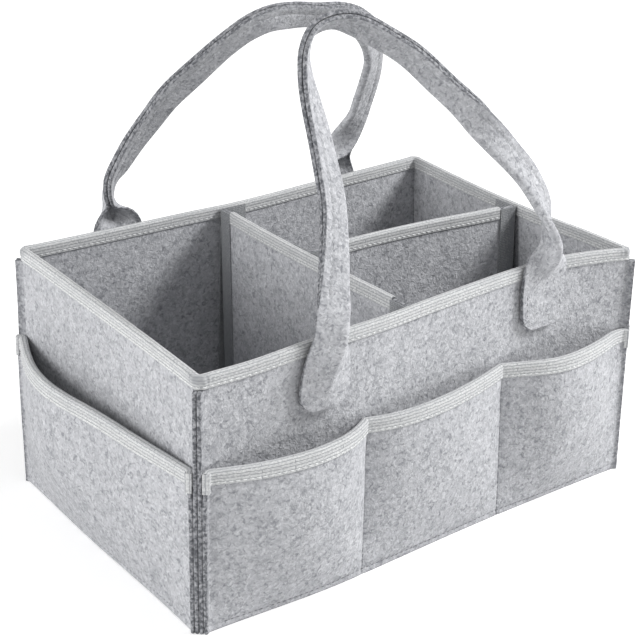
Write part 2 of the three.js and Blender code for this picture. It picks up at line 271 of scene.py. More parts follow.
# The front rim sags a little beside the near corner: where, how deep, its half width,
# and how fast the sag fades towards the back and down the wall
front_sag = (-152, 2.0, 32, 6, 3)


def settled(points, hold=1.0, level=None):
    """Points of the box as they stand in the softened shape. hold fades the change away, and
    level takes the whole change from one height, for what stands inside the box."""
    points = np.asarray(points, float)
    x, y, z = np.moveaxis(points, -1, 0)
    z_at = z if level is None else level + 0 * z
    up = np.clip(z_at / rim_top, 0, 1)
    along = np.clip(0.5 + x / (2 * half_length), 0, 1)
    across = np.clip(0.5 + y / (2 * half_depth), 0, 1)
    left_lean = left_end_lean[0] + (left_end_lean[1] - left_end_lean[0]) * across
    lean = ((1 - along) * left_lean - along * read_off(right_rim_in, y)) * up ** lean_power
    tall = up ** front_power
    front_in = read_off(front_foot_in, x) * (1 - tall) + read_off(front_rim_in, x) * tall
    slant, rise, drift = ripple_lengths
    ripple = ripple_height * np.sin((x + y) / slant + 1) * np.sin(z_at / rise + x / drift)
    back_in = read_off(back_rim_in, x) * across ** 2 * up ** lean_power
    moved_y = front_in * (1 - across) ** 2 - back_in + ripple
    sag_x, sag_depth, sag_width, fade_back, fade_down = front_sag
    sag = sag_depth * np.exp(-((x - sag_x) / sag_width) ** 2) * (1 - across) ** fade_back * up ** fade_down
    moved = np.stack([lean + ripple, moved_y, -sag], -1)
    for at_right, at_back, fade_along, fade_across, rim_move, foot_move in corner_pulls:
        pull = (along if at_right else 1 - along) ** fade_along
        pull = pull * (across if at_back else 1 - across) ** fade_across
        moved += (pull * up ** 2)[..., None] * rim_move + (pull * (1 - up ** 2))[..., None] * foot_move
    if level is not None:
        moved[..., 2] = 0
    return points + moved * np.asarray(hold, float)[..., None]


# A cut edge of felt is a little worn: how far down from it, and how much thinner
edge_round = 0.8
worn_edge = ((0.0, 1.0), (0.3, 0.35), (1.0, 0.0))


def both_faces(rise):
    """A section's rise up one face as (side, height) pairs, with its way back down the other."""
    return rise + [(-side, height) for side, height in reversed(rise)]


def felt_section(foot, top, levels, half=felt_half):
    """A cut panel's section from foot to top and back, as (side, height) pairs."""
    rise = [(half - edge_round * thin, foot + edge_round * down) for down, thin in worn_edge]
    rise += [(half, foot + edge_round + (top - foot - 2 * edge_round) * share)
             for share in np.linspace(0, 1, levels)[1:-1]]
    rise += [(half - edge_round * thin, top - edge_round * down) for down, thin in reversed(worn_edge)]
    return both_faces(rise)


def dense(line, step):
    """A line with points added so that none of its stretches is longer than a step."""
    line = np.asarray(line, float)
    found = [line[:1]]
    for low, high in zip(line, line[1:]):
        count = max(int(math.ceil(np.linalg.norm(high - low) / step)), 1)
        found.append(low + (high - low) * np.linspace(0, 1, count + 1)[1:, None])
    return np.concatenate(found)


def unit(vectors):
    """Vectors with a length of 1."""
    return vectors / np.linalg.norm(vectors, axis=-1, keepdims=True)


def step_lengths(line):
    """The distance from each point of a line to the next."""
    return np.linalg.norm(np.diff(line, axis=0), axis=1)


def places_along(line):
    """How far along a line each of its points lies."""
    return np.concatenate([[0], np.cumsum(step_lengths(line))])


def with_worn_ends(line):
    """A line with the close points at both ends that a worn cut edge needs."""
    start = unit(line[1] - line[0])
    stop = unit(line[-2] - line[-1])
    head = [line[0] + start * edge_round * down for down, _ in worn_edge]
    tail = [line[-1] + stop * edge_round * down for down, _ in reversed(worn_edge)]
    return np.concatenate([head, line[1:-1], tail])


def worn_thickness(count):
    """The share of its thickness that a strip keeps at each of its stations."""
    ends = [1 - edge_round * thin / felt_half for _, thin in worn_edge]
    return np.array(ends + [1.0] * (count - 2 * len(ends)) + ends[::-1])


def cut_edges(rows, count):
    """1 at the cut ends and the cut long edges of a felt strip's rings of points."""
    ends = np.zeros(rows)
    ends[[0, 1, -2, -1]] = 1
    edges = np.zeros(count)
    half = count // 2
    edges[[0, 1, half - 2, half - 1, half, half + 1, -2, -1]] = 1
    return np.maximum(ends[:, None], edges[None, :])


panel_levels = 22
base_step = 12
base_line = with_worn_ends(dense([(base_low[0], 0), (base_high[0], 0)], base_step))
base_section = felt_section(base_low[1], base_high[1], panel_levels)
base_rings = np.array([
    [(x, height, base_high[2] / 2 + side * thin) for side, height in base_section]
    for (x, _), thin in zip(base_line, worn_thickness(len(base_line)))])
base = make_strip("felt_bottom", settled(base_rings), felt, "root", "felt",
                  cut=cut_edges(*base_rings.shape[:2]))
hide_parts("base_panel")

# The four side walls: felt panels whose ends turn out at 45 degrees into lips. Two
# lips are sewn face to face at each corner, so their dark cut edges show there.
corner_lip = 2.8
lip_squeeze = 0.7
lip_shade = 0.8
corner_bend = 2.4
wall_step = 7
wall_levels = 26
lip_ease = 2
fold_room = 1.5
wall_lip_off = seam_gap / 2 + felt_half * lip_squeeze
sides = {
    "front": (0, half_length, half_depth),
    "right": (90, half_depth, half_length),
    "back": (180, half_length, half_depth),
    "left": (270, half_depth, half_length),
}


def turned_about(x, y, angle):
    """Two coordinates turned about the vertical by an angle in degrees."""
    turn = math.radians(angle)
    return x * math.cos(turn) - y * math.sin(turn), x * math.sin(turn) + y * math.cos(turn)


def on_side(points, side):
    """Points of one side's own space, where the wall's outer face is y = 0, on the box."""
    angle, _, stand_off = sides[side]
    x, y, z = np.moveaxis(np.asarray(points, float), -1, 0)
    return np.stack([*turned_about(x, y - stand_off, angle), z], -1)


def turned_to(directions, side):
    """Directions of one side's own space, turned with it on the box."""
    directions = np.asarray(directions, float)
    return on_side(directions, side) - on_side(np.zeros_like(directions), side)


def rounded(line, radius, steps=5):
    """A plan line with arcs in place of its bends."""
    line = np.asarray(line, float)
    found = [line[0]]
    for before, corner, after in zip(line, line[1:], line[2:]):
        back = unit(before - corner)
        on = unit(after - corner)
        cut = radius * math.tan((math.pi - math.acos(np.clip(back @ on, -1, 1))) / 2)
        found += [corner + back * cut * (1 - share) ** 2 + on * cut * share ** 2
                  for share in np.linspace(0, 1, steps)]
    return np.array(found + [line[-1]])


def lip_ends(half_run, stand, lip_off):
    """Where a strip's middle line bends off a wall, and where its lip ends. It stands out from
    the wall's outer face by stand, and its lip is lip_off away from the corner's diagonal."""
    aside = lip_off * math.sqrt(2)
    reach = corner_lip * math.sqrt(2)
    return (half_run - aside + stand, -stand), (half_run + (reach - aside) / 2, -(reach + aside) / 2)


def shifted(line, distance, closed=False):
    """A plan line moved sideways by one distance or one for each point, mitred at its bends.
    Positive is on the right of its run."""
    after = np.roll(line, -1, 0) - line
    before = line - np.roll(line, 1, 0)
    if not closed:
        after[-1] = before[-1]
        before[0] = after[0]
    after, before = unit(after), unit(before)
    normal = unit(np.stack([before[:, 1] + after[:, 1], -before[:, 0] - after[:, 0]], 1))
    reach = normal[:, 0] * before[:, 1] - normal[:, 1] * before[:, 0]
    return line + normal * (distance / reach)[:, None]


def at_height(line, height):
    """A plan line's points with a height, or with one for each of them."""
    return np.column_stack([line, np.full(len(line), height)])


def swept(line_at, section, thin=1.0, closed=False):
    """Rings of points: a section swept along a plan line, which may change with the height."""
    columns = []
    for side, height in section:
        line = line_at(np.max(height))
        columns.append(at_height(shifted(line, side * thin, closed), height))
    return np.stack(columns, 1)


def in_lips(line, bend_x):
    """The share of its thickness that a strip keeps at each station, where its sewn lips
    are pressed together."""
    return 1 - (1 - lip_squeeze) * np.clip((np.abs(line[:, 0]) - bend_x) / lip_ease, 0, 1)


def squeezed(line, bend_x):
    """The share of its thickness that a felt strip keeps, in its lips and at its worn ends."""
    return worn_thickness(len(line)) * in_lips(line, bend_x)


def lip_edges(rings, line, bend_x):
    """The dark of a strip's cut edges, with its whole lips darkened too."""
    lips = (1 - in_lips(line, bend_x)) / (1 - lip_squeeze)
    return np.maximum(cut_edges(*rings.shape[:2]), lip_shade * lips[:, None])


for side, (_, half_run, _) in sides.items():
    (bend_x, bend_y), (tip_x, tip_y) = lip_ends(half_run, -felt_half, wall_lip_off)
    corners = [(-tip_x, tip_y), (-bend_x, bend_y), (bend_x, bend_y), (tip_x, tip_y)]
    wall_line = with_worn_ends(dense(rounded(corners, corner_bend), wall_step))
    between_lips = np.abs(wall_line[:, 0]) < bend_x - corner_bend / 2
    wall_top = np.where(between_lips, rim_top - fold_room, rim_foot - seam_gap)
    wall_section = felt_section(0, wall_top, wall_levels)
    wall_rings = swept(lambda height: wall_line, wall_section, squeezed(wall_line, bend_x))
    wall = make_strip(f"felt_{side}_wall", settled(on_side(wall_rings, side)), felt, "root", "felt",
                      cut=lip_edges(wall_rings, wall_line, bend_x))
    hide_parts(f"{side}_wall")

# The pocket strips: one felt strip along each side, cut longer than the wall and
# sewn down at the corner lips, along the bottom and at seams between the pockets.
mouth_sag = 2.8
pocket_top = cad_box("front_pocket_panel")[1][2] - mouth_sag
pocket_tape_drop = 10.4
pocket_bend = 3.6
tape_thickness = 0.7
tape_gap = 0.15
foot_stand = 0.4
mouth_stand = seam_gap + tape_thickness + tape_gap
lip_play = 0.2
pocket_lip_off = seam_gap / 2 + felt_thickness * lip_squeeze + lip_play + felt_half * lip_squeeze
# A strip makes room for its binding from this far below the tape's foot, over this height
room_below = 12
room_over = 10
# A pocket swells towards its mouth: how soon, and how much fuller it is halfway up
rise_power = 1.9
belly = 0.35
# For each pocket, from its left seam to its right one: rows of the share of the way
# across it and how far its mouth stands out there beyond a straight line
front_mouths = (
    ((0, 0), (0.18, 8), (0.395, 14), (0.55, 15.8), (0.647, 15.2), (0.844, 9.9), (0.93, 5), (1, 0)),
    ((0, 0), (0.1, 4.6), (0.208, 8), (0.36, 10.3), (0.523, 10.6), (0.75, 7.5), (0.9, 3.4), (1, 0)),
    ((0, 0), (0.07, 3.8), (0.15, 8), (0.27, 14), (0.383, 17.4), (0.5, 17.6), (0.625, 15.1), (0.8, 8.5),
     (0.95, 1.2), (1, 0)),
)
back_mouths = (
    ((0, 0), (0.15, 5), (0.35, 10), (0.5, 11), (0.7, 9), (0.88, 4), (1, 0)),
    ((0, 0), (0.13, 6), (0.3, 11), (0.46, 12.5), (0.65, 10), (0.86, 4.5), (1, 0)),
    ((0, 0), (0.14, 5), (0.34, 9.5), (0.52, 11), (0.72, 8.5), (0.9, 3.5), (1, 0)),
)
left_mouth = ((0, 0), (0.1, 9), (0.22, 17), (0.34, 19.5), (0.43, 17.8), (0.555, 13), (0.81, 6), (0.93, 2.2),
              (1, 0))
right_mouth = ((0, 0), (0.15, 7), (0.3, 13), (0.5, 16), (0.7, 13), (0.85, 7), (1, 0))
pockets = {"front": front_mouths, "right": (right_mouth,), "back": back_mouths, "left": (left_mouth,)}
seam_places = {"front": (-61.5, 69), "right": (), "back": (-63, 63), "left": ()}
mouth_step = 4.5
bottom_seam = 4.4
# Thread draws the felt thin by this much and this far to each side, and looks dark. Each seam between the
# pockets also gets a line of painted shade along its groove
seam_pinch = 1.0
seam_pinch_width = 1.1
upright_pinch = 0.25
upright_pinch_width = 2.4
seam_step = 1.2
seam_painted_shade = 1.0
pocket_levels = (3.0, 3.7, bottom_seam, 5.1, 6.0, 8.5, 12, 16, 21, 27, 34, 42, 50, 58, 67, 76, 85, 93, 100,
                 105, 109, 112, 116, 121)


def eased(share):
    """A share from 0 to 1 with a soft start and a soft end."""
    share = np.clip(share, 0, 1)
    return share * share * (3 - 2 * share)


def pocket_line(side, height):
    """The middle line of a pocket strip at a height, from one corner lip to the other."""
    half_run = sides[side][1]
    up = min(max(height / pocket_top, 0), 1)
    bound = float(eased((height - pocket_top + pocket_tape_drop + room_below) / room_over))
    stand = foot_stand + (mouth_stand - foot_stand) * bound + felt_half
    lip_off = pocket_lip_off + (tape_thickness + tape_gap) * bound
    (bend_x, bend_y), tip = lip_ends(half_run, stand, lip_off)
    start = bend_x - corner_bend
    lip = rounded([tip, (bend_x, bend_y), (start, bend_y)], corner_bend, steps=4)
    lip = np.concatenate([[tip, (lip[0] + lip[1]) / 2], lip[1:-1]])
    right_lip = with_worn_ends(lip)[:-3]
    edges = (-start, *seam_places[side], start)
    pocket_run = 2 * half_run / len(pockets[side])
    beside_seam = seam_step / pocket_run
    share = np.linspace(0, 1, int(pocket_run / mouth_step) + 1)
    share = np.concatenate([[0, beside_seam], share[1:-1], [1 - beside_seam, 1]])
    parts = [right_lip * [-1, 1]]
    swell = 1 - (1 - up) ** rise_power + belly * math.sin(math.pi * up)
    for low, high, mouth in zip(edges, edges[1:], pockets[side]):
        out = read_off(mouth, share) * swell
        points = np.column_stack([low + (high - low) * share, -stand - out])
        parts.append(points[1 if len(parts) > 1 else 0:])
    return np.concatenate(parts + [right_lip[::-1]])


def pocket_pinch(side, line):
    """The share of its thickness that a strip keeps at each station: less in its lips and at
    the seams between its pockets, where its thread draws it in."""
    kept = squeezed(line, sides[side][1] - pocket_bend)
    for place in seam_places[side]:
        kept *= 1 - upright_pinch * np.exp(-((line[:, 0] - place) / upright_pinch_width) ** 2)
    return kept


def pocket_section():
    """A pocket strip's section, drawn thin along its bottom seam."""
    ends = felt_section(0, pocket_top, 2)
    worn = len(worn_edge)
    between = [(felt_half - seam_pinch * math.exp(-((level - bottom_seam) / seam_pinch_width) ** 2), level)
               for level in pocket_levels]
    return both_faces(ends[:worn] + between + ends[worn:2 * worn])


for side in sides:
    foot_line = pocket_line(side, 0)
    strip_rings = swept(lambda height: pocket_line(side, height), pocket_section(),
                        pocket_pinch(side, foot_line))
    strip_shade = lip_edges(strip_rings, foot_line, sides[side][1] - pocket_bend)
    # painted shade in the groove of each seam between the pockets
    for place in seam_places[side]:
        at_seam = np.exp(-((foot_line[:, 0] - place) / (seam_step / 2)) ** 2)
        strip_shade = np.maximum(strip_shade, seam_painted_shade * at_seam[:, None])
    strip = make_strip(f"felt_{side}_pockets", settled(on_side(strip_rings, side)), felt, "root", "felt",
                       cut=strip_shade)
    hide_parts(f"{side}_pocket_panel")
    mouth = pocket_line(side, pocket_top)

# The bindings: woven polyester tape folded over each raw top edge, over the rim
# in one closed loop and over the mouth of each pocket strip from lip to lip.
tape_light = "#d3d4d4"
tape_body = "#c2c3c4"
tape_groove_shade = "#94969a"
rib_pitch = 2.3
rib_groove = 0.5
rib_length = 60
float_length = 1.7
wear_size = 14
tape_glint = "#f2f3f2"
tape_wear = "#a9abad"
fold_shade = 0.75


def woven_tape(name, light, body, groove):
    """Binding tape: polyester yarn woven in lengthwise ribs, pale grey, with a dotted look where
    the cross yarns float over them. The ribs are drawn twice as wide as real ones, to show. The
    grey of the grooves between the ribs is painted shade, the cut attribute darkens the folds of
    the corner puckers towards it as painted shade, and the pale glints are painted highlights."""
    material, finish = new_material(name)
    run = add_node(material, "Attribute", {}, attribute_name="run").outputs["Vector"]
    weave = add_node(material, "TexBrick", {
        "Vector": run, "Color1": linear(light), "Color2": linear(body), "Mortar": linear(groove),
        "Scale": 1.0, "Mortar Size": rib_groove * MM, "Mortar Smooth": 1.0, "Bias": 0.0,
        "Brick Width": rib_length * MM, "Row Height": rib_pitch * MM}, offset=0.37, squash=1.0)
    along = add_node(material, "Mapping", {
        "Vector": run, "Scale": (1 / (float_length * MM), 1 / (rib_pitch / 2 * MM), 1)})
    floats = add_node(material, "TexNoise", {
        "Vector": along.outputs["Vector"], "Scale": 1.0, "Detail": 1.0})
    wear = add_node(material, "TexNoise", {"Vector": run, "Scale": 1 / (wear_size * MM), "Detail": 2.0})
    fold = add_node(material, "Attribute", {}, attribute_name="cut")
    colour = tinted(material, weave.outputs["Color"], (
        (floats.outputs["Fac"], 0.5, 0.68, 0, 0.5, groove),
        # painted highlights on the floats
        (floats.outputs["Fac"], 0.32, 0.46, 0.35, 0, tape_glint),
        (wear.outputs["Fac"], 0.4, 0.7, 0, 0.3, tape_wear),
        # painted shade in the folds of the corner puckers
        (fold.outputs["Fac"], 0, 1, 0, fold_shade, groove)))
    bump = add_node(material, "Bump", {
        "Height": weave.outputs["Fac"], "Strength": 0.5, "Distance": 0.0004}, invert=True)
    set_sockets(material, finish, {
        "Base Color": colour, "Normal": bump.outputs["Normal"], "Roughness": 0.7,
        "Specular IOR Level": 0.35})
    return material


binding_tape = woven_tape("woven grey binding tape", tape_light, tape_body, tape_groove_shade)
fold_squareness = 0.7


def tape_section(foot, top, inner=felt_half + tape_gap, levels=6, arc=11):
    """The section of a tape folded over a top edge: its outside from foot to foot, then its
    inside back. The fold is a round with slightly square shoulders."""
    outer = inner + tape_thickness
    turn = np.linspace(0, np.pi, arc)
    drop = list(np.linspace(foot, top - outer, levels)[:-1])

    def path(half):
        side = half * np.sign(np.cos(turn)) * np.abs(np.cos(turn)) ** fold_squareness
        height = top - outer + half * np.abs(np.sin(turn)) ** fold_squareness
        return [(half, z) for z in drop] + list(zip(side, height)) + [(-half, z) for z in reversed(drop)]

    return path(outer) + path(inner)[::-1]


def tape_run(line, section):
    """The places along and across a tape for each point of its rings."""
    across = places_along(np.array(section[:len(section) // 2]))
    across = np.concatenate([across, across[::-1]])
    return np.stack(np.broadcast_arrays(places_along(line)[:, None], across[None, :]), -1)


stitch_length = 3.3
stitch_gap = 1.2
thread_width = 0.75
twist_size = 0.8
bead_rings = 5
bead_sides = 6
# How far a stitch stands out at its middle and falls at its ends, and how much thinner it is
# there, as shares of its width
bead_arch = (0.5, 0.85)
bead_taper = 0.45


def spun_thread(name, light, dark):
    """Sewing thread: twisted polyester with a soft shine, its twist drawn as a fine mottle."""
    material, finish = new_material(name)
    place = add_node(material, "TexCoord", {}).outputs["Object"]
    twist = add_node(material, "TexNoise", {
        "Vector": place, "Scale": 1 / (twist_size * MM), "Detail": 1.0})
    colour = tinted(material, linear(light), ((twist.outputs["Fac"], 0, 1, 0, 1, dark),))
    set_sockets(material, finish, {"Base Color": colour, "Roughness": 0.6})
    return material


tape_thread = spun_thread("white polyester thread", "#f0f1f0", "#c9cbcb")
# the felt seams' thread is grey thread drawn darker, as painted shade where it sinks into the felt
shaded_seam_thread = spun_thread("grey polyester thread", "#8d8f92", "#626468")


def stitches(name, runs, body, thread):
    """Lock stitches along runs of (points, outward directions) on the cloth. Each stitch is a
    short arched bead of thread that dips into the cloth at both of its ends."""
    share = np.linspace(-1, 1, bead_rings)
    turn = np.linspace(0, 2 * np.pi, bead_sides + 1)[:-1]
    found = []
    for points, outward in runs:
        points = np.asarray(points, float)
        outward = np.asarray(outward, float) + 0 * points
        place = places_along(points)
        pitch = stitch_length + stitch_gap
        count = int((place[-1] + stitch_gap) // pitch)
        first = (place[-1] + stitch_gap - count * pitch) / 2
        along = first + pitch * np.arange(count)[:, None] + stitch_length * (share[None, :] + 1) / 2
        middle = np.stack([np.interp(along, place, points[:, axis]) for axis in range(3)], -1)
        up = unit(np.stack([np.interp(along, place, outward[:, axis]) for axis in range(3)], -1))
        beside = unit(np.cross(middle[:, -1:] - middle[:, :1], up))
        arch = thread_width * (bead_arch[0] - bead_arch[1] * share ** 2)
        middle = middle + up * arch[None, :, None]
        radius = thread_width / 2 * (1 - bead_taper * share ** 4)
        ring = np.cos(turn)[:, None] * beside[:, :, None, :] + np.sin(turn)[:, None] * up[:, :, None, :]
        found.append(middle[:, :, None, :] + radius[None, :, None, None] * ring)
    beads = np.concatenate(found)
    bead_starts = bead_rings * bead_sides * np.arange(len(beads))
    faces = (strip_faces(bead_rings, bead_sides)[None] + bead_starts[:, None, None]).reshape(-1, 4)
    return make_piece(name, beads, faces, thread, body)


tape_seam_rise = 1.9
rim_half_tape = felt_half + tape_gap + tape_thickness


def tape_seam(line, foot, stand, closed=False):
    """A seam near the foot of a binding: its points, and the directions in which they face."""
    sewn = shifted(line, stand, closed)
    return at_height(sewn, foot + tape_seam_rise), at_height(sewn - line, 0.0)


rim_corner = 4
pucker_reach = 14
pucker_pitch = 3.2
pucker_height = 1.3
pucker_width = 7
pleat_shade_width = 8
pleat_shade_between = 1.5
loose_above = 2
loose_over = 4
rim_step = 6
rim_corners = np.array([(-1, -1), (1, -1), (1, 1), (-1, 1)]) * [half_length - felt_half,
                                                                half_depth - felt_half]
rim_loop = []
for before, corner, after in zip(np.roll(rim_corners, 1, 0), rim_corners, np.roll(rim_corners, -1, 0)):
    back, on = (np.sign(before - corner) * pucker_reach, np.sign(after - corner) * pucker_reach)
    bend = rounded([corner + back, corner, corner + on], rim_corner, steps=7)
    rim_loop += [dense([(before + corner) / 2, bend[0]], rim_step)[:-1],
                 dense(bend, pucker_pitch / 4)[:-1],
                 dense([bend[-1], (corner + after) / 2], rim_step)[:-1]]
rim_loop = np.concatenate(rim_loop)
rim_section = tape_section(rim_foot, rim_top)
rim_rings = swept(lambda height: rim_loop, rim_section, closed=True)
# The tape is gathered in small puckers where it turns each corner, and painted shade darkens it between them
corner_gap = np.min(np.linalg.norm(rim_loop[:, None, :] - rim_corners[None, :, :], axis=-1), axis=1)
pucker = (np.cos(corner_gap / pucker_pitch * 2 * np.pi) + 1) / 2
# painted shade between the puckers, fading away from each corner
pleat_shade = np.clip(pleat_shade_between - pucker, 0, 1) * np.exp(-(corner_gap / pleat_shade_width) ** 2)
pucker *= pucker_height * np.exp(-(corner_gap / pucker_width) ** 2)
loose = np.array([np.clip(side, 0, 1) * np.clip((height - rim_foot - loose_above) / loose_over, 0, 1)
                  for side, height in rim_section])
outward = shifted(rim_loop, 1, closed=True) - rim_loop
rim_rings[..., :2] += pucker[:, None, None] * loose[None, :, None] * outward[:, None, :]
rim_binding = make_strip("rim_binding_tape", settled(rim_rings), binding_tape, "root", "binding_tape",
                         closed=True, run=tape_run(rim_loop, rim_section),
                         cut=pleat_shade[:, None] * loose[None, :])
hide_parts(*[f"{side}_rim_binding" for side in sides])
rim_stitch_runs = []
for hand in (1, -1):
    sewn, outward = [np.concatenate([line, line[:1]])
                     for line in tape_seam(rim_loop, rim_foot, hand * rim_half_tape, closed=True)]
    rim_stitch_runs.append((settled(sewn), outward))
rim_stitches = stitches("rim_binding_stitches", rim_stitch_runs, "root", tape_thread)

pocket_tape_top = cad_box("front_pocket_binding")[1][2] - mouth_sag
pocket_tape_foot = pocket_tape_top - pocket_tape_drop
tab_overlap = 2
tab_below = 5
tab_half = 0.3
tab_past = 0.5
tab_off = 0.4
tab_sunk = 0.1
tab_short = 0.6
tab_round = 0.5
tab_step = 1
tab_levels = 10


def end_tab(tip, inner, hand):
    """The tape's end turned round the end of a pocket strip's lip: rings of a small flat strip
    from behind the lip's cut end, across it and a little way back along its outside."""
    along = unit(tip - inner)
    aside = np.array([along[1], -along[0]]) * hand
    half = rim_half_tape * lip_squeeze
    past = tip + along * tab_past
    line = [past - aside * (half - tab_sunk), past + aside * (half + tab_off),
            tip - along * tab_overlap + aside * (half + tab_off)]
    heights = np.linspace(pocket_tape_foot - tab_below, pocket_tape_top - tab_short, tab_levels)
    line = dense(rounded(line, tab_round), tab_step)
    return swept(lambda height: line, both_faces([(tab_half, height) for height in heights]))


for side, (_, half_run, _) in sides.items():
    section = tape_section(pocket_tape_foot, pocket_tape_top)
    mouth = pocket_line(side, pocket_top)
    pressed = in_lips(mouth, half_run - pocket_bend)
    tape_rings = swept(lambda height: pocket_line(side, height), section, pressed)
    tape = make_strip(f"{side}_pocket_binding_tape", settled(on_side(tape_rings, side)), binding_tape,
                      "root", "binding_tape", run=tape_run(mouth, section))
    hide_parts(f"{side}_pocket_binding")
    tabs = [end_tab(mouth[-1], mouth[-2], 1), end_tab(mouth[0], mouth[1], -1)]
    faces = strip_faces(*tabs[0].shape[:2])
    faces = np.concatenate([faces, faces + tabs[0].size // 3])
    tabs = np.stack(tabs)
    ends = make_piece(f"{side}_pocket_binding_ends", settled(on_side(tabs, side)), faces, binding_tape,
                      "root", "binding_tape", run=np.stack([tabs[..., 2], tabs[..., 0]], -1))
    seam_line = pocket_line(side, pocket_tape_foot + tape_seam_rise)
    sewn, outward = tape_seam(seam_line, pocket_tape_foot, rim_half_tape * pressed)
    seam = stitches(f"{side}_pocket_binding_stitches",
                    [(settled(on_side(sewn, side)), turned_to(outward, side))], "root", tape_thread)

# The box's seams: polyester thread through the pocket strips and the walls, down
# between the pockets and along the foot of each side. It sinks into the felt, and its
# dark grey is partly painted shade of the dips that it sinks into.
thread_sink = 0.25
foot_seam_inset = 12
upright_seam_foot = 8
upright_seam_step = 4.0
for side, (_, half_run, _) in sides.items():
    foot_line = pocket_line(side, bottom_seam)
    inner = np.abs(foot_line[:, 0]) < half_run - foot_seam_inset
    face = shifted(foot_line, felt_half - seam_pinch - thread_sink)
    runs = [at_height(face, bottom_seam)[inner]]
    for place in seam_places[side]:
        heights = np.arange(upright_seam_foot, pocket_tape_foot - 1, upright_seam_step)
        middle = np.array([pocket_line(side, height)[:, 1].max() for height in heights])
        depth = felt_half * (1 - upright_pinch) - thread_sink
        runs.append(np.column_stack([0 * heights + place, middle - depth, heights]))
    outward = turned_to((0, -1, 0), side)
    stitches(f"{side}_seam_stitches", [(settled(on_side(points, side)), outward) for points in runs],
             "root", shaded_seam_thread)

# The two carrying straps: 42 mm felt strips sewn flat on the outside of the walls
# and folded in half above the rim, with both raw edges stitched and drawn thin.
strap_half = 21
strap_felt_half = 1.6
strap_stand = 1.5
fold_radius = 1.8
patch_corner = 14
strap_stitch_inset = 6.5
strap_groove = 0.6
strap_rim = cad_box("front_strap")[0][2] - 0.15
# drawn a little darker than the felt, partly as painted shade in its needle holes
shaded_strap_thread = spun_thread("pale grey polyester thread", "#b9bbbd", "#999b9e")
strap_edge_shade = 0.95
strap_step = 4.0
strap_lean_power = 1.5
strap_groove_width = 0.8
# How much of its thickness a strap keeps, this far from its ends and its raw edges
strap_worn = ((0, 0.24, 0.8), (0.6, 0.86, 1.0))
# How dark its felt is towards the raw edges, on its outside and on its inside, by the distance
# from the fold. Its inside darkens well before the cut edge, as painted shade in the narrow
# gap between its wings
outer_dark = ((19.8, 20.3, 20.76), (0, 0.6, 1))
inner_cut_and_gap_shade = ((15.8, 18, 19.8), (0, 0.6, 1))
# Its wings are stitched together where their half opening is below this, in degrees. The
# thread's groove starts to show below the first of the next two, and is full below the second
strap_shut = 5
groove_openings = (14, 4)
# It moves with the box at the rim, and no more this far above it
settled_above = 80
foot_stitch_inset = 5
foot_stitch_rise = 15
# Each row: place along the wall, height over the hinge, turn of the fold about the
# strap, half the angle between its wings, and how far it stands out from the wall
front_strap_rows = [
    (-97, -50.5, -90, 84, 1.2), (-97, -36, -90, 76, 2.8), (-96.5, -22, -90, 64, 5), (-95.5, -10, -88, 50, 7),
    (-94.5, 2, -78, 34, 8.5), (-93.2, 13, -58, 16, 7), (-88, 24.5, -26, 4, 3), (-76.6, 50.3, -2, 0, 0),
    (-68.4, 78.8, 10, 0, 0), (-66.3, 99.4, 17, 0, 0), (-64.4, 119.7, 23, 0, 0), (-63, 137.1, 31, 0, 0),
    (-61.2, 149, 38, 0, 0), (-54.9, 165, 45, 0, 0), (-45.7, 174.3, 51, 0, 0), (-33.1, 178.2, 55, 0, 0),
    (-18, 177.7, 55, 0, 0), (-8.6, 173.9, 50, 0, 0), (9.3, 162.9, 52, 0, 0), (22.9, 153.1, 53, 0, 0),
    (44, 129.7, 52, 0, 0), (57.7, 114.5, 44, 0, 0), (67.9, 100.9, 18, 0, 0), (83.4, 80.3, -16, 0, 0),
    (93.4, 66.8, -24, 0, 0.5), (101.4, 52.7, -30, 0, 1.2), (108.4, 37.5, -42, 0, 2), (111.4, 24.5, -66, 0, 3),
    (112.6, 15, -78, 6, 5), (112.2, 8.5, -82, 28, 6), (111.4, 3.5, -86, 48, 5.6), (110.5, -2, -89, 68, 3.9),
    (109.5, -10, -90, 84, 1.2), (109, -20, -90, 90, 0), (109, -36, -90, 90, 0), (109, -50.5, -90, 90, 0),
]
back_strap_rows = [
    (-103, -50.5, -90, 90, 0), (-103, -36, -90, 90, 0), (-103, -18, -90, 86, 0.8), (-103.5, -6, -90, 72, 3.2),
    (-105, 4, -86, 50, 6.8), (-107.5, 13, -74, 24, 8.5), (-110.5, 22, -50, 6, 7), (-114, 35, -14, 0, 3.5),
    (-117, 50.7, 10, 0, 0.5), (-117.2, 65.9, 11, 0, 0), (-115.2, 87.5, 12, 0, 0), (-109.2, 106.8, 16, 0, 0),
    (-98, 124, 4, 0, 0), (-80, 140, -12, 0, 0), (-54, 151, -26, 0, 0), (-27.3, 155.6, -36, 0, 0),
    (-7.4, 158.3, -26, 0, 0), (13.7, 158.1, -22, 0, 0), (25.9, 153.4, -19, 0, 0), (37.4, 144.5, -18, 0, 0),
    (58.5, 121.5, -9, 0, 0), (75.4, 101.4, -9, 0, 0), (84.5, 84.4, -14, 0, 0), (93.9, 68.5, -22, 0, 0),
    (102.7, 51.9, -31, 0, 1), (110.6, 35, -46, 0, 4), (111.2, 22, -64, 0, 8), (110.4, 15.5, -76, 11, 9.8),
    (109.8, 10.5, -83, 26, 9), (109.2, 5.5, -88, 45, 7.2), (108.6, 0, -90, 66, 4.4), (108, -7, -90, 82, 1.6),
    (107.5, -16, -90, 90, 0), (107.5, -36, -90, 90, 0), (107.5, -50.5, -90, 90, 0),
]
straps = {
    "front": (front_strap_rows, 180, 85, "front_handle"),
    "back": (back_strap_rows, 153, 75, "back_handle"),
}
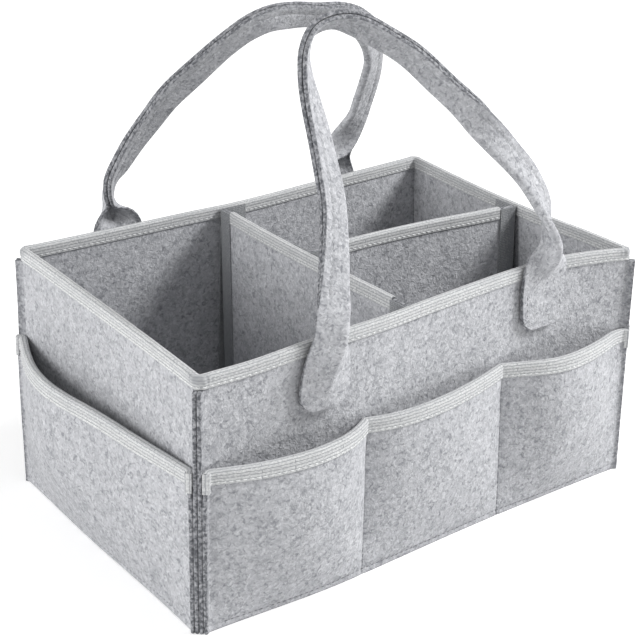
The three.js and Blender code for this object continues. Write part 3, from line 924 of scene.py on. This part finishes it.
# Where a strap has points across it, by the distance from its fold, and along it, near both
# of its ends and then evenly from and to these distances from them
strap_across = np.array([0, 0.8, 1.6, 2.4, 3.2, 4.6, 7, 10, 12.4, 13.2, 13.9, 14.5, 15.1, 15.8, 18, 19.8,
                         20.3, 20.76, 21])
strap_ends = np.array([0, 0.24, 0.8, 1.6, 3, 5, 8, 11])
strap_even = (14, 12)
# A strap leans on a little beyond the top of its rise
lean_room = 1.05


def strap_stations(rows, rise, lean):
    """For each station along a strap: its middle, its two cross directions, its half opening,
    its half width and the share of its thickness that it keeps."""
    table = np.array(rows, float)
    places = places_along(table[:, :2])
    even = np.arange(strap_even[0], places[-1] - strap_even[1], strap_step)
    at = np.concatenate([strap_ends, even, places[-1] - strap_ends[::-1]])
    x, height, turn, opening, out = read_off(np.column_stack([places, table]), at).T
    opening = np.radians(np.clip(opening, 0, 90))
    turn = np.radians(turn)
    share = np.clip(height / rise, 0, lean_room)
    y = lean * share ** strap_lean_power - strap_stand - strap_felt_half - out
    middle = np.stack([x, y, strap_rim + height], -1)
    tangent = unit(np.gradient(middle, at, axis=0))
    upright = np.where(at < places[-1] / 2, 1.0, -1.0)[:, None] * np.array([0, 0, 1.0])
    flat_share = (opening / (np.pi / 2))[:, None]
    heading = unit(upright * flat_share + tangent * (1 - flat_share))
    across = unit(np.cross(np.array([0, -1.0, 0]), heading))
    through = np.cross(heading, across)
    deep = across * np.cos(turn)[:, None] + through * np.sin(turn)[:, None]
    wide = np.cross(heading, deep)
    from_end = np.minimum(at, places[-1] - at)
    cut = np.clip(patch_corner - from_end, 0, patch_corner)
    half_width = strap_half - patch_corner + np.sqrt(patch_corner ** 2 - cut ** 2)
    kept = np.interp(from_end, *strap_worn)
    return middle, deep, wide, opening, half_width, kept


def strap_point(stations, across, side):
    """Points on a strap's face at a distance across from its fold, with side times the half
    thickness, and the direction in which that face looks."""
    middle, deep, wide, opening, half_width, kept = stations
    bend = np.pi - 2 * opening
    arc = fold_radius * bend / 2
    distance = np.abs(across) * half_width / strap_half
    hand = 1.0 if across >= 0 else -1.0
    angle = np.minimum(distance, arc) / fold_radius
    straight = np.maximum(distance - arc, 0)
    depth = fold_radius * (1 - np.cos(angle)) + straight * np.sin(bend / 2)
    aside = fold_radius * np.sin(angle) + straight * np.cos(bend / 2)
    edge = fold_radius * (1 - np.cos(bend / 2)) + (strap_half - arc) * np.sin(bend / 2)
    depth = depth - (edge - strap_felt_half * bend / np.pi) / 2
    facing = deep * -np.cos(angle)[:, None] + wide * (hand * np.sin(angle))[:, None]
    open_at, shut_at = np.radians(groove_openings)
    sewn = eased((open_at - opening) / (open_at - shut_at))
    from_seam = np.abs(across) - strap_half + strap_stitch_inset
    groove = strap_groove * np.exp(-(from_seam / strap_groove_width) ** 2) * sewn
    worn = np.interp(strap_half - abs(across), *strap_worn)
    half = strap_felt_half * kept * worn - (groove if side > 0 else 0)
    face = middle + deep * depth[:, None] + wide * (hand * aside)[:, None] + facing * (side * half)[:, None]
    return face, facing * side


def on_strap(points, side):
    """Points of a strap on the box. It moves with the wall at its feet and less and less above."""
    placed = on_side(points, side)
    return settled(placed, hold=1 - eased((placed[..., 2] - rim_top) / settled_above))


for side, (rows, rise, lean, handle) in straps.items():
    stations = strap_stations(rows, rise, lean)
    both = np.concatenate([-strap_across[:0:-1], strap_across])
    outer = [strap_point(stations, across, 1)[0] for across in both]
    inner = [strap_point(stations, across, -1)[0] for across in both[::-1]]
    strap_rings = np.stack(outer + inner, 1)
    edge_cut_and_shade = np.concatenate([np.interp(np.abs(both), *outer_dark),
                               np.interp(np.abs(both[::-1]), *inner_cut_and_gap_shade)])
    strap = make_strip(f"felt_{side}_strap", on_strap(strap_rings, side), felt, None, "felt",
                       cut=strap_edge_shade * np.tile(edge_cut_and_shade, (len(strap_rings), 1)))
    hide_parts(f"{side}_strap", f"{side}_strap_left_end", f"{side}_strap_right_end")
    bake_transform(strap)
    shut = np.degrees(stations[3]) < strap_shut
    runs = []
    for hand in (-1, 1):
        face, facing = strap_point(stations, hand * (strap_half - strap_stitch_inset), 1)
        runs.append((on_strap(face[shut] - facing[shut] * thread_sink, side), turned_to(facing[shut], side)))
    seam = stitches(f"{side}_strap_stitches", runs, handle, shaded_strap_thread)
    foot_runs = []
    corner_turn = np.linspace(np.pi, 1.5 * np.pi, 7)
    for foot_x in (rows[0][0], rows[-1][0]):
        round_z = strap_rim + rows[0][1] + patch_corner
        radius = patch_corner - foot_stitch_inset
        left = np.column_stack([patch_corner - strap_half + radius * np.cos(corner_turn),
                                round_z + radius * np.sin(corner_turn)])
        left = np.concatenate([[(foot_stitch_inset - strap_half, round_z + foot_stitch_rise)], left])
        outline = np.concatenate([left, left[::-1] * [-1, 1]])
        outside = np.full(len(outline), thread_sink - strap_stand - 2 * strap_felt_half)
        points = np.column_stack([outline[:, 0] + foot_x, outside, outline[:, 1]])
        foot_runs.append((on_strap(points, side), turned_to((0, -1, 0), side)))
    foot_seam = stitches(f"{side}_strap_foot_stitches", foot_runs, "root", shaded_strap_thread)

# The divider: two felt panels with a bound top edge, one from wall to wall and one
# from it to the right wall. Felt stays bare for 14 mm at each end of the tape.
cross_low, cross_high = cad_box("cross_divider_panel")
long_low, long_high = cad_box("long_divider_panel")
divider_bare = 14.3
divider_bow = 14
cross_wave = 1.4
divider_step = 6
long_stations = 34
bow_shares = ((0, 0), (0.12, 0), (0.35, 0.12), (0.6, 0.5), (0.78, 0.88), (0.9, 1), (1, 1))
cross_x = (cross_low[0] + cross_high[0]) / 2
cross_line = dense([(cross_x, cross_low[1]), (cross_x, cross_high[1])], divider_step)
cross_share = (cross_line[:, 1] - cross_low[1]) / (cross_high[1] - cross_low[1])
cross_line[:, 0] += cross_wave * np.sin(cross_share * 2 * np.pi)
long_share = np.linspace(0, 1, long_stations)
long_line = np.column_stack([
    long_low[0] + (long_high[0] - long_low[0]) * long_share,
    -divider_bow * read_off(bow_shares, long_share)])


def trimmed(line, trim):
    """A line without its two ends, which are cut off at a length along it."""
    place = places_along(line)
    inner = (place > trim + 1) & (place < place[-1] - trim - 1)
    kept = np.concatenate([[trim], place[inner], [place[-1] - trim]])
    return np.column_stack([np.interp(kept, place, line[:, 0]), np.interp(kept, place, line[:, 1])])


for name, line, low, high in (("cross_divider", cross_line, cross_low, cross_high),
                              ("long_divider", long_line, long_low, long_high)):
    panel_line = with_worn_ends(line)
    panel_rings = swept(lambda height: panel_line, felt_section(low[2], high[2], panel_levels),
                        worn_thickness(len(panel_line)))
    panel = make_strip(f"felt_{name}_panel", settled(panel_rings, level=rim_top), felt, name, "felt",
                       cut=cut_edges(*panel_rings.shape[:2]))
    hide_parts(f"{name}_panel")
    tape_line = trimmed(line, divider_bare)
    section = tape_section(rim_foot, rim_top)
    tape_rings = swept(lambda height: tape_line, section)
    tape = make_strip(f"{name}_binding_tape", settled(tape_rings, level=rim_top), binding_tape, name,
                      "binding_tape", run=tape_run(tape_line, section))
    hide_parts(f"{name}_binding")
    runs = []
    for hand in (1, -1):
        sewn, outward = tape_seam(tape_line, rim_foot, hand * rim_half_tape)
        runs.append((settled(sewn, level=rim_top), outward))
    seam = stitches(f"{name}_binding_stitches", runs, name, tape_thread)

# The hook tape: a nylon tab on each end of a divider panel, sewn to its face and
# turned round its end, which presses on to loop tape on a wall or the cross panel.
hook_pitch = 1.4
loop_pitch = 1.1
tab_foot, tab_top = (corner[2] for corner in cad_box("cross_divider_back_tab"))
tab_reach = 18


def pile_tape(name, light, dark, size, scatter):
    """Hook or loop tape: a woven nylon ground with rows of stiff hooks or a mat of fine loops.
    The tufts are drawn as cells about twice as wide as real ones, with the ground between them
    darkened as painted shade."""
    material, finish = new_material(name)
    place = add_node(material, "TexCoord", {}).outputs["Object"]
    cells = add_node(material, "TexVoronoi", {
        "Vector": place, "Scale": 1 / (size * MM), "Randomness": scatter})
    colour = tinted(material, linear(light), ((cells.outputs["Distance"], 0.15, 0.55, 0, 1, dark),))
    bump = add_node(material, "Bump", {
        "Height": cells.outputs["Distance"], "Strength": 0.7, "Distance": 0.0005}, invert=True)
    set_sockets(material, finish, {
        "Base Color": colour, "Normal": bump.outputs["Normal"], "Roughness": 0.85})
    return material


hook_tape = pile_tape("nylon hook tape", "#a9abad", "#7b7d80", hook_pitch, 0.25)
loop_tape = pile_tape("nylon loop tape", "#b3b5b7", "#8d8f92", loop_pitch, 1.0)
hook_thickness = 1.2
hook_step = 5
hook_levels = 14
tab_face = -felt_half - seam_gap - hook_thickness / 2
tab_bend = seam_gap + hook_thickness / 2
tab_shape = rounded([(felt_half + tab_reach, tab_bend), (tab_face, tab_bend),
                     (tab_face, seam_gap - divider_bare)], hook_thickness)


def flat_tape(name, node, line, foot, top, material, slot, body):
    """A strip of thin tape that stands from foot to top along a plan line."""
    line = dense(line, hook_step)
    rise = [(hook_thickness / 2, height) for height in np.linspace(foot, top, hook_levels)]
    rings = swept(lambda height: line, both_faces(rise))
    piece = make_strip(name, settled(rings, level=None if body == "root" else rim_top), material, body, slot)
    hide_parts(node)


tabs = {
    "cross_divider_back_tab": (cross_x, cross_high[1], 0, 1, "cross_divider"),
    "cross_divider_front_tab": (cross_x, cross_low[1], 0, -1, "cross_divider"),
    "long_divider_wall_tab": (long_high[0], -divider_bow, 90, -1, "long_divider"),
    "long_divider_cross_tab": (long_low[0], 0, 90, 1, "long_divider"),
}
for node, (x, y, angle, hand, body) in tabs.items():
    shape = np.column_stack(turned_about(*(tab_shape * [1, hand]).T, angle)) + [x, y]
    flat_tape(f"{node}_hook_tape", node, shape, tab_foot, tab_top, hook_tape, "hook_tape", body)

for node, body, carrier in (("front_loop_strip", "root", "felt_front_wall"),
                            ("back_loop_strip", "root", "felt_back_wall"),
                            ("right_loop_strip", "root", "felt_right_wall"),
                            ("cross_loop_strip", "cross_divider", "felt_cross_divider_panel")):
    low, high = cad_box(node)
    middle = (low + high) / 2
    long_way = 0 if high[0] - low[0] > high[1] - low[1] else 1
    ends = np.array([middle[:2], middle[:2]])
    ends[:, long_way] = (low[long_way], high[long_way])
    flat_tape(f"{node}_loop_tape", node, ends, low[2], high[2], loop_tape, "loop_tape", body)

# The studio: a pale matt floor under an even white surround, a large soft light
# from the right and above and a weaker one from the left, and the camera where the
# photograph was taken from.
floor_half = 6
# How the floor glows in a picture, by the distance in metres. It glows more where the lamps
# hardly reach, so that it stays white in low views
glow_reach = (0.9, 2.2)
glow_strength = (0.36, 0.66)
surround_light = 0.42


def seen_rays(material):
    """1 for camera, glossy and transmission rays and 0 for all others, which light the pieces."""
    path = add_node(material, "LightPath", {}).outputs
    shiny = add_node(material, "Math", {0: path["Is Camera Ray"], 1: path["Is Glossy Ray"]}, operation="ADD")
    clear = add_node(material, "Math", {
        0: shiny.outputs[0], 1: path["Is Transmission Ray"]}, operation="ADD", use_clamp=True)
    return clear.outputs[0]


floor_material, floor_finish = new_material("white paper floor")
floor_tree = floor_material.node_tree
floor_tree.nodes.remove(floor_finish)
floor_matt = add_node(floor_material, "BsdfDiffuse", {"Color": linear("#f4f4f4")})
floor_place = add_node(floor_material, "NewGeometry", {})
floor_reach = add_node(floor_material, "VectorMath", {0: floor_place.outputs["Position"]}, operation="LENGTH")
floor_strength = add_node(floor_material, "MapRange", {
    "Value": floor_reach.outputs["Value"], "From Min": glow_reach[0], "From Max": glow_reach[1],
    "To Min": glow_strength[0], "To Max": glow_strength[1]})
floor_glow = add_node(floor_material, "Emission", {
    "Color": linear("#ffffff"), "Strength": floor_strength.outputs["Result"]})
floor_lift = add_node(floor_material, "MixShader", {0: seen_rays(floor_material), 2: floor_glow.outputs[0]})
floor_sum = add_node(floor_material, "AddShader", {0: floor_matt.outputs[0], 1: floor_lift.outputs[0]})
set_sockets(floor_material, floor_tree.nodes["Material Output"], {"Surface": floor_sum.outputs[0]})
floor_mesh = bpy.data.meshes.new("paper_floor")
floor_corners = [(-floor_half, -floor_half, 0), (floor_half, -floor_half, 0), (floor_half, floor_half, 0),
                 (-floor_half, floor_half, 0)]
floor_mesh.from_pydata(floor_corners, [], [(0, 1, 2, 3)])
floor_mesh.materials.append(floor_material)
floor = add_object("paper_floor", floor_mesh)

surround = bpy.data.worlds.new("white surround")
bpy.context.scene.world = surround
surround.use_nodes = True
surround_strength = add_node(surround, "MapRange", {
    "Value": seen_rays(surround), "To Min": surround_light, "To Max": 1.0})
set_sockets(surround, surround.node_tree.nodes["Background"], {
    "Color": linear("#ffffff"), "Strength": surround_strength.outputs[0]})


def soft_light(name, place, aim, size, power):
    lamp = bpy.data.lights.new(name, "AREA")
    lamp.shape = "DISK"
    lamp.size = size
    lamp.energy = power
    holder = add_object(name, lamp)
    holder.location = place
    x, y, z = np.array(place, float) - np.array(aim, float)
    holder.rotation_euler = (math.atan2(math.hypot(x, y), z), 0, math.atan2(x, -y))


soft_light("key_light", (1.6, -1.1, 1.75), (0, 0, 0.1), 0.9, 62)
soft_light("left_light", (-1.9, 0.25, 0.8), (0, 0, 0.1), 1.2, 24)

camera_azimuth = math.radians(-35.5)
camera_elevation = math.radians(23.9)
camera_distance = 1.218
camera_aim = np.array((-0.002, 0.002, 0.132))
camera_back = np.array((math.sin(camera_azimuth) * math.cos(camera_elevation),
                        -math.cos(camera_azimuth) * math.cos(camera_elevation), math.sin(camera_elevation)))
camera_data = bpy.data.cameras.new("camera")
camera_data.lens = 91
camera_data.sensor_width = 36
camera = add_object("camera", camera_data)
camera.location = camera_aim + camera_back * camera_distance
camera.rotation_euler = (math.pi / 2 - camera_elevation, 0, camera_azimuth)
bpy.context.scene.camera = camera
bpy.context.scene.view_settings.view_transform = "Standard"
